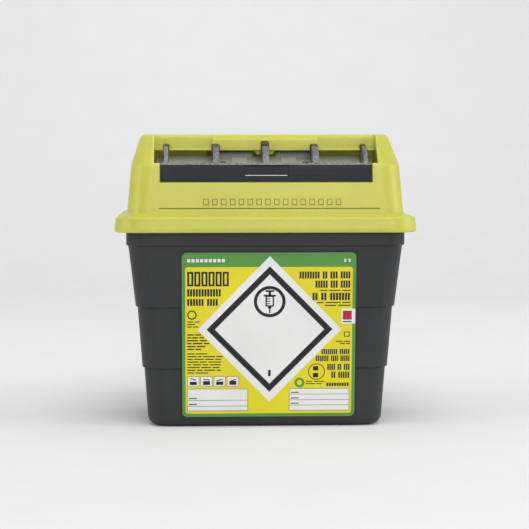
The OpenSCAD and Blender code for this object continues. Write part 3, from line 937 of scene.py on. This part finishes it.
pin_plastic = plastic("pin plastic", (0.40, 0.40, 0.385), (0.48, 0.48, 0.465),
                      rough=0.30, grain_size=1600, grain_height=0.12, streak=0.1)
for name, side in (("pivot_pin_left", -1), ("pivot_pin_right", 1)):
    low, high = corners(name)
    inner, outer = (high.x, low.x) if side < 0 else (low.x, high.x)
    pin = turned_piece(name.replace("pivot_", ""), pin_profile(inner, outer, side))
    smooth(pin, 35)
    pin.data.materials.append(pin_plastic)
    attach(pin, "closure")
    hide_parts(name)

# --------------------------------------------------------------------------------------
# Front label. A self-adhesive polypropylene film, printed in green, yellow, white and black
# and stuck to the tub's pad. All that it says is left out: bars stand for lines of print, and
# plain pictures for its signs.

label_lean = math.atan((label_high.y - label_low.y - label_t) / (label_high.z - label_low.z))
label_w = label_high.x - label_low.x
label_h = (label_high.z - label_low.z) / math.cos(label_lean)
film_t = 0.22
ink_t = 0.02
field_w = film_t + ink_t
sign_w = field_w + ink_t
ink_w = sign_w + ink_t
frame_t = 0.4
print_edge = 80
sign_u, sign_v = 0.7, 88.2
sign_half_w, sign_half_h = 70.7, 73
GREEN, YELLOW, WHITE, BLACK, RED = range(5)


def on_label(u, v, w):
    """A place on the label: u from its middle, v up from its lower edge, w out of it."""
    y = label_high.y - v * math.sin(label_lean) - w * math.cos(label_lean)
    z = label_low.z + v * math.cos(label_lean) - w * math.sin(label_lean)
    return (pad_mid + u, y, z)


def rectangle(u0, u1, v0, v1, r=0.0):
    if not r:
        return [(u0, v0), (u1, v0), (u1, v1), (u0, v1)]
    middle_u, middle_v = (u0 + u1) / 2, (v0 + v1) / 2
    return [(x + middle_u, y + middle_v) for x, y, _ in ring(0, u1 - u0, v1 - v0, r, steps=6)]


def diamond(u, v, half_w, half_h):
    return [(u - half_w, v), (u, v - half_h), (u + half_w, v), (u, v + half_h)]


def disc(u, v, r, steps=36):
    turns = [math.tau * i / steps for i in range(steps)]
    return [(u + r * math.cos(a), v + r * math.sin(a)) for a in turns]


def tilted(outline, u, v, degrees):
    c, s = math.cos(math.radians(degrees)), math.sin(math.radians(degrees))
    return [(u + a * c - b * s, v + a * s + b * c) for a, b in outline]


def print_solid(mesh, outline, low, high, ink, hole=None):
    """Adds a thin solid to the label: an outline, or the band between an outline and a hole."""
    loops = [outline] if hole is None else [outline, hole]
    rows = [[mesh.verts.new(on_label(u, v, w)) for u, v in loop] for loop in loops for w in (low, high)]
    count = len(outline)
    faces = []
    for i in range(count):
        j = (i + 1) % count
        faces.append((rows[0][i], rows[0][j], rows[1][j], rows[1][i]))
        if hole is not None:
            faces.append((rows[2][j], rows[2][i], rows[3][i], rows[3][j]))
            faces.append((rows[1][i], rows[1][j], rows[3][j], rows[3][i]))
            faces.append((rows[0][j], rows[0][i], rows[2][i], rows[2][j]))
    if hole is None:
        faces += [rows[0][::-1], rows[1]]
    for face in faces:
        mesh.faces.new(face).material_index = ink


def draw(outline, low=sign_w, ink=BLACK, hole=None):
    """Ink on the label, from one of its layers up to the top."""
    print_solid(art, outline, low, ink_w, ink, hole=hole)


def print_letters(u0, u1, v0, v1, words, share, ink=BLACK, stroke_w=0):
    """A line of print with a plain block for each letter: words gives each word's length."""
    pitch = (u1 - u0) / (sum(words) + len(words) - 1)
    u = u0
    for word in words:
        for n in range(word):
            left, right = u + n * pitch, u + (n + share) * pitch
            hollow = None
            if stroke_w:
                hollow = rectangle(left + stroke_w, right - stroke_w, v0 + stroke_w, v1 - stroke_w)
            draw(rectangle(left, right, v0, v1), field_w, ink, hole=hollow)
        u += (word + 1) * pitch


def print_small(u0, u1, v_top, pitch, height, lines):
    """Small print, a bar for each word. Lines that reach past print_edge are set from the right."""
    longest = max(sum(words) + len(words) - 1 for words in lines)
    for n, words in enumerate(lines):
        v = v_top - n * pitch
        letters = sum(words) + len(words) - 1
        reach = sign_half_w * (1 - abs(v - height / 2 - sign_v) / sign_half_h)
        room = u1 - sign_u - reach if u1 > sign_u else sign_u - reach - u0
        width = min((u1 - u0) * letters / longest, room - 1.5)
        u = u1 - width if u1 > print_edge else u0
        for word in words:
            long = word * width / letters
            draw(rectangle(u, u + long, v - height, v), field_w)
            u += long + width / letters


def framed_box(u0, u1, v0, v1, r):
    """A white box in a thin black frame."""
    print_solid(art, rectangle(u0, u1, v0, v1, r), field_w, sign_w, WHITE)
    inner = rectangle(u0 + frame_t, u1 - frame_t, v0 + frame_t, v1 - frame_t, r - 0.2)
    draw(rectangle(u0, u1, v0, v1, r), hole=inner)


# The green film, the yellow field and the diamond with a syringe in a ring.
art = bmesh.new()
print_solid(art, rectangle(-label_w / 2, label_w / 2, 0, label_h, 5), 0, film_t, GREEN)
print_solid(art, rectangle(-82, 82, 3.3, 150.4, 2.5), film_t, field_w, YELLOW)
print_solid(art, diamond(sign_u, sign_v, sign_half_w, sign_half_h), field_w, sign_w, WHITE)
draw(diamond(sign_u, sign_v, 61.9, 63), hole=diamond(sign_u, sign_v, 53.8, 54.8))
draw(rectangle(sign_u - 1.3, sign_u + 1.3, 41, 47.5, 0.8))
ring_v = 116
draw(disc(sign_u, ring_v, 15.6, 48), hole=disc(sign_u, ring_v, 12.4, 48))
barrel = (4.2, -5, 6, 0.8)
barrel_wall = 1.4
for half, low, high, r in (barrel, (1.2, 6, 10.4, 0.4), (4.4, 9.6, 11.4, 0.8), (6, 5, 6.8, 0.8),
                           (1.8, -7, -5, 0.6), (0.7, -11.6, -6.6, 0.3)):
    hollow = None
    if (half, low, high, r) == barrel:
        hollow = rectangle(sign_u + barrel_wall - half, sign_u + half - barrel_wall,
                           ring_v + low + barrel_wall, ring_v + high - barrel_wall, 0.4)
    outline = rectangle(sign_u - half, sign_u + half, ring_v + low, ring_v + high, r)
    draw(outline, hole=hollow)
for k in range(3):
    v = ring_v - 2.6 + 2.4 * k
    draw(rectangle(sign_u - 2.8, sign_u + 0.4, v, v + 0.9))

# Large print: left, right, lower and upper edge, letters in each word, share of a letter inked.
print_letters(-80, -42, 155.2, 158.4, (9,), 0.7, ink=WHITE)
print_letters(73.5, 80, 155.2, 158.4, (1, 1), 0.8, ink=WHITE)
print_letters(-80, -38.5, 131.4, 145.8, (6,), 0.86, stroke_w=1.9)
for line in ((-80, -46.5, 121.3, 128.6, (12,), 0.72), (-80, -49.5, 112, 118.8, (6, 4), 0.72),
             (29.8, 80.2, 138.8, 145.8, (8, 2, 3, 4), 0.72), (45.5, 80.2, 129.6, 136.8, (5, 3, 4), 0.72),
             (42.6, 80.2, 117.2, 124.6, (2, 2, 7), 0.72), (52, 80.2, 62.9, 68.2, (8, 5), 0.7),
             (46.5, 80.2, 55.9, 61.6, (7, 4, 5), 0.7), (58, 80.4, 46.9, 53.2, (4, 2, 3), 0.7),
             (62, 80.4, 38.8, 45.2, (2, 5), 0.7), (57.3, 80, 30.6, 34, (9,), 0.75),
             (43.8, 50.8, 46.6, 51, (1,), 0.75), (43.8, 50.8, 39.6, 44, (1,), 0.75)):
    print_letters(*line)

# Small print: left, right and upper edge, pitch and height of the lines, letters in each word.
for block in ((-80.2, -68, 96.4, 2.5, 1.0, [(4, 3), (5,), (3, 4)]),
              (-80.2, -57, 83.6, 2.9, 1.3, [(7, 6), (4, 6, 5), (8, 5), (3, 7, 4), (6, 6), (5, 4)]),
              (-80.2, -43, 64.4, 2.75, 1.1, [(5, 8), (7, 3, 9, 5), (4, 7, 6, 4), (8, 5, 9), (3, 6, 4, 8),
                                             (9, 7, 5), (6, 4, 8, 3), (5, 9)]),
              (50, 80.2, 127.4, 2, 1.0, [(5, 8, 6)]), (44, 80.2, 115.4, 2.8, 1.1, [(4, 9, 5), (6, 7)]),
              (66, 80.2, 76.4, 2.2, 1.0, [(7, 6), (5, 4)]), (36.7, 55.4, 36, 2.4, 0.9, [(5, 8), (7, 4)])):
    print_small(*block)

# Plain rings and a square where the signs are, and the boxes that are filled in by hand.
for u, v, r, inner, ink in ((-75.5, 102.8, 4.6, 3.4, BLACK), (47.3, 45.4, 8.3, 7.5, BLACK),
                            (30.5, 34.4, 5, 2.6, GREEN)):
    draw(disc(u, v, r), field_w, ink, hole=disc(u, v, inner))
draw(rectangle(74, 79.6, 80.6, 85.7, 0.6), field_w, hole=rectangle(74.8, 78.8, 81.4, 84.9, 0.4))
for n in range(4):
    left = -80.2 + 13 * n
    framed_box(left, left + 11.8, 30.6, 41.2, 1)
    draw(rectangle(left + 2.4, left + 9.4, 32.4, 35.8 + 0.6 * (n % 2), 0.5))
    flap = tilted(rectangle(-3.1, 3.1, -0.5, 0.5), left + 5.9, 38.2 - 0.4 * n, 12 * n - 16)
    draw(flap)
for left, right, rules in ((-80.4, -20.4, (16.8, 10.8)), (20.3, 80, (22.6, 16.8, 11.5))):
    framed_box(left, right, 5.9, 28.4, 0.6)
    for v in rules:
        draw(rectangle(left + 0.5, right - 0.5, v - 0.2, v + 0.2))
        draw(rectangle(left + 1.6, left + 9.5, v + 1.4, v + 2.4))
label = finish_mesh("front_label", art)

inks = []
for name, colour in (("label green", (0.085, 0.255, 0.055)), ("label yellow", (0.650, 0.570, 0.020)),
                     ("label white", (0.69, 0.69, 0.685)), ("label black", (0.014, 0.014, 0.015)),
                     ("label red", (0.40, 0.018, 0.03))):
    dark = tuple(c * 0.95 for c in colour)
    light = tuple(min(1, c * 1.04) for c in colour)
    inks.append(plastic(name, dark, light, rough=0.42, grain_size=700, grain_height=0.05, streak=0.02,
                        speck=0.2, gloss=0.25))
    label.data.materials.append(inks[-1])
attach(label, "container")
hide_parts("front_label")

# --------------------------------------------------------------------------------------
# Small sticker. White coated paper with a plain red panel, stuck over the right edge of the
# printed field.

sticker_low, sticker_high = corners("region_sticker")
sticker_v = (sticker_low.z - label_low.z) / math.cos(label_lean)
sticker_w = sticker_high.x - sticker_low.x
sticker_h = (sticker_high.z - sticker_low.z) / math.cos(label_lean)
left = (sticker_low.x + sticker_high.x) / 2 - pad_mid - sticker_w / 2
paper_w = label_t + 0.16
print_w = paper_w + 0.03
paper = bmesh.new()
whole = rectangle(left, left + sticker_w, sticker_v, sticker_v + sticker_h, 1)
print_solid(paper, whole, label_t, paper_w, 0)
panel = rectangle(left + 1.6, left + 10.4, sticker_v + 4, sticker_v + 13, 0.4)
print_solid(paper, panel, paper_w, print_w, 1)
print_solid(paper, rectangle(left + 1.6, left + 10.4, sticker_v + 1.6, sticker_v + 2.7), paper_w, print_w, 2)
sticker = finish_mesh("region_sticker", paper)
for ink in (WHITE, RED, BLACK):
    sticker.data.materials.append(inks[ink])
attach(sticker, "container")
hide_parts("region_sticker")

# --------------------------------------------------------------------------------------
# Studio. A pale sweep of floor and backdrop under an even white sky, soft lights above, in
# front and at both sides, one that lights the backdrop, and the camera.

sweep_half = 6000
sweep_front = -7000
sweep_r = 1500
sweep_top = 6000
sweep_line = [(sweep_front, 0), (sweep_r, 0)]
for i in range(1, 11):
    a = math.radians(9 * i)
    sweep_line.append((sweep_r + sweep_r * math.sin(a), sweep_r - sweep_r * math.cos(a)))
sweep_line.append((2 * sweep_r, sweep_top))
sweep = bmesh.new()
left_row = [sweep.verts.new((-sweep_half, y, z)) for y, z in sweep_line]
right_row = [sweep.verts.new((sweep_half, y, z)) for y, z in sweep_line]
for i in range(len(sweep_line) - 1):
    sweep.faces.new((left_row[i], right_row[i], right_row[i + 1], left_row[i + 1]))
floor = finish_mesh("floor", sweep)
floor.data.polygons.foreach_set("use_smooth", [True] * len(floor.data.polygons))
floor.data.materials.append(plastic(
    "pale floor", (0.735, 0.735, 0.74), (0.75, 0.75, 0.755),
    rough=0.75, grain_size=30, grain_height=0.05, streak=0.0, gloss=0.1))

world = bpy.data.worlds.new("studio")
world.use_nodes = True
world.node_tree.nodes["Background"].inputs["Color"].default_value = (1, 1, 1.01, 1)
world.node_tree.nodes["Background"].inputs["Strength"].default_value = 0.57
bpy.context.scene.world = world
middle = Vector((0, 0, top_z / 2 * mm))
behind = Vector((0, 3, 1.3))
for name, place, size, power, target in (
        ("top light", (0.1, -0.9, 1.8), 1.0, 12.6, middle),
        ("front light", (0.2, -2.4, 0.7), 0.9, 11.8, middle),
        ("right light", (2.1, -0.5, 0.9), 1.2, 19, middle),
        ("left light", (-2.1, -0.7, 0.9), 1.2, 13, middle),
        ("back light", (0, 0.8, 2.4), 2.4, 25, behind)):
    lamp = bpy.data.lights.new(name, "AREA")
    lamp.shape = "SQUARE"
    lamp.size = size
    lamp.energy = power
    light = bpy.data.objects.new(name, lamp)
    light.location = place
    light.rotation_euler = (target - light.location).to_track_quat("-Z", "Y").to_euler()
    bpy.context.scene.collection.objects.link(light)

camera_side = math.radians(-2.44)
camera_up = math.radians(4.24)
camera_far = 1.7439
aim = Vector((0, 0, 0.1435))
back = Vector((math.sin(camera_side) * math.cos(camera_up), -math.cos(camera_side) * math.cos(camera_up),
               math.sin(camera_up)))
lens = bpy.data.cameras.new("camera")
lens.lens = 115.5
lens.sensor_width = 36
lens.shift_x = 0.0035
lens.shift_y = 0.024
camera = bpy.data.objects.new("camera", lens)
camera.location = aim + back * camera_far
camera.rotation_euler = (-back).to_track_quat("-Z", "Y").to_euler()
bpy.context.scene.collection.objects.link(camera)
bpy.context.scene.camera = camera
bpy.context.scene.view_settings.view_transform = "Standard"
